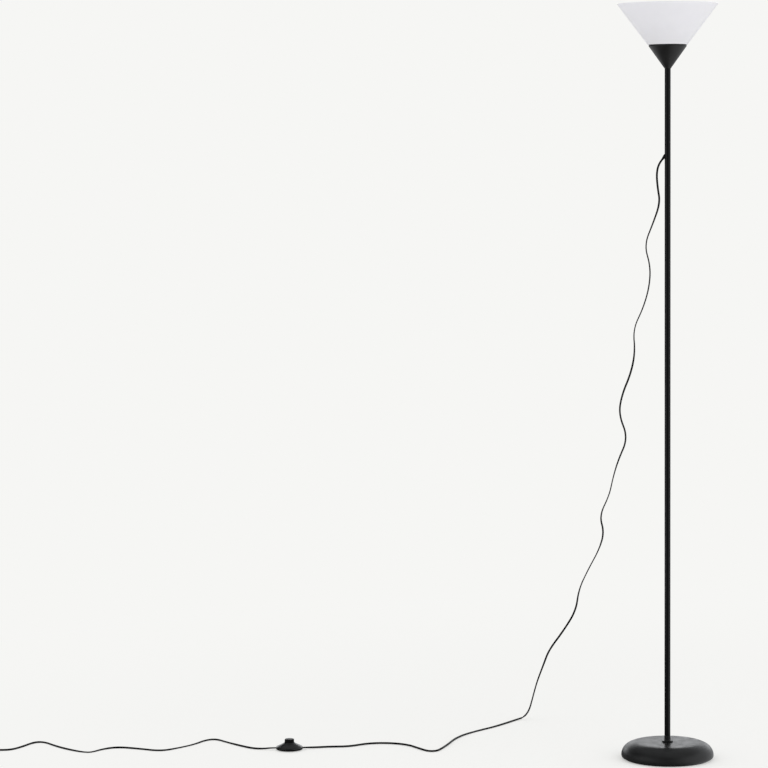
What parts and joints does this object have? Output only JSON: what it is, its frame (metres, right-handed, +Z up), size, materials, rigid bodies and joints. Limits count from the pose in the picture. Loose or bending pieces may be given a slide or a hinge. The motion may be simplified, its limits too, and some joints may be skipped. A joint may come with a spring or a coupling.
{
  "type": "torchiere floor lamp",
  "caption": "Uplighter floor lamp: translucent conical shade on a slim sectional pole, round weighted foot, and a hanging twin flex with a foot switch and plug.",
  "frame": {"origin": "on the floor under the middle of the base", "axes": "+Z up along the pole, +X to the right seen from the front, +Y away from the viewer; the flex leaves the pole towards -X"},
  "size_m": [1.903, 0.6292, 1.8],
  "materials": {
    "black_moulding": "satin",
    "black_enamel": "satin",
    "concrete": "matte",
    "zinc_steel": "satin",
    "dark_foam": "matte",
    "black_flex": "satin",
    "core_wire": "satin",
    "frosted_shade": "satin",
    "black_resin": "satin",
    "pale_insulator": "satin",
    "contact_brass": "satin",
    "dark_glass": "gloss",
    "bulb_cap_metal": "satin",
    "bulb_white": "satin",
    "bulb_opal": "satin",
    "switch_black": "satin",
    "switch_inner": "satin",
    "tie_black": "matte",
    "plated_pin": "polished"
  },
  "bodies": {
    "lamp": {"base_bolt": "zinc_steel", "base_cover": "black_moulding", "base_pad": "dark_foam", "base_plate": "zinc_steel", "base_screws": "zinc_steel", "base_washer": "zinc_steel", "base_weight": "concrete", "coil_tie": "tie_black", "contact_blades": "contact_brass", "cord_coil": "black_flex", "cord_grommet": "black_flex", "cord_to_coil": "black_flex", "cord_to_switch": "black_flex", "fitter_cup": "black_moulding", "head_nipple": "zinc_steel", "head_nut": "zinc_steel", "head_washer": "zinc_steel", "holder_body": "black_resin", "holder_cap": "black_resin", "holder_contact": "contact_brass", "holder_insert": "pale_insulator", "holder_shell": "contact_brass", "holder_wires": "core_wire", "inner_cable": "black_flex", "plug_body": "switch_black", "plug_pins": "plated_pin", "plug_relief": "black_flex", "pole_foot_collar": "black_moulding", "pole_foot_insert": "zinc_steel", "pole_joint_inserts": "zinc_steel", "pole_joint_studs": "zinc_steel", "pole_lower": "black_enamel", "pole_middle": "black_enamel", "pole_top_insert": "zinc_steel", "pole_upper": "black_enamel", "shade": "frosted_shade", "shade_ring": "black_resin", "switch_base": "switch_black", "switch_cage": "switch_inner", "switch_cord_clamps": "switch_inner", "switch_cover": "switch_black", "switch_pads": "dark_foam", "switch_screws": "zinc_steel", "switch_spring": "zinc_steel", "switch_terminal_screws": "zinc_steel", "terminal_screws": "zinc_steel"},
    "button": {"switch_button": "switch_black"},
    "rotor": {"switch_rotor": "switch_inner", "contact_bridge": "contact_brass"},
    "bulb_tip": {"bulb_contact": "contact_brass"},
    "bulb": {"bulb_insulator": "dark_glass", "bulb_cap": "bulb_cap_metal", "bulb_body": "bulb_white", "bulb_globe": "bulb_opal"}
  },
  "joints": [
    {"name": "button_press", "type": "slide", "parent": "lamp", "child": "button", "axis": [0, 0, 1], "range_m": [-0.004, 0], "stiffness_N_per_m": 600, "springref_m": 0.006, "deforming": ["switch_spring"]},
    {"name": "rotor_turn", "type": "hinge", "parent": "lamp", "child": "rotor", "pos_m": [-0.912, 0.133, 0.005], "axis": [0, 0, 1], "range_deg": [0, 45]},
    {"name": "bulb_rise", "type": "slide", "parent": "lamp", "child": "bulb_tip", "axis": [0, 0, 1], "range_m": [0, 0.01089]},
    {"name": "bulb_turn", "type": "hinge", "parent": "bulb_tip", "child": "bulb", "pos_m": [0, 0, 1.7], "axis": [0, 0, 1], "range_deg": [0, 1080]}
  ],
  "couplings": [
    {"joint": "rotor_turn", "follows": "button_press", "rad_per_m": -196.35},
    {"joint": "bulb_rise", "follows": "bulb_turn", "m_per_rad": 0.00057757}
  ]
}
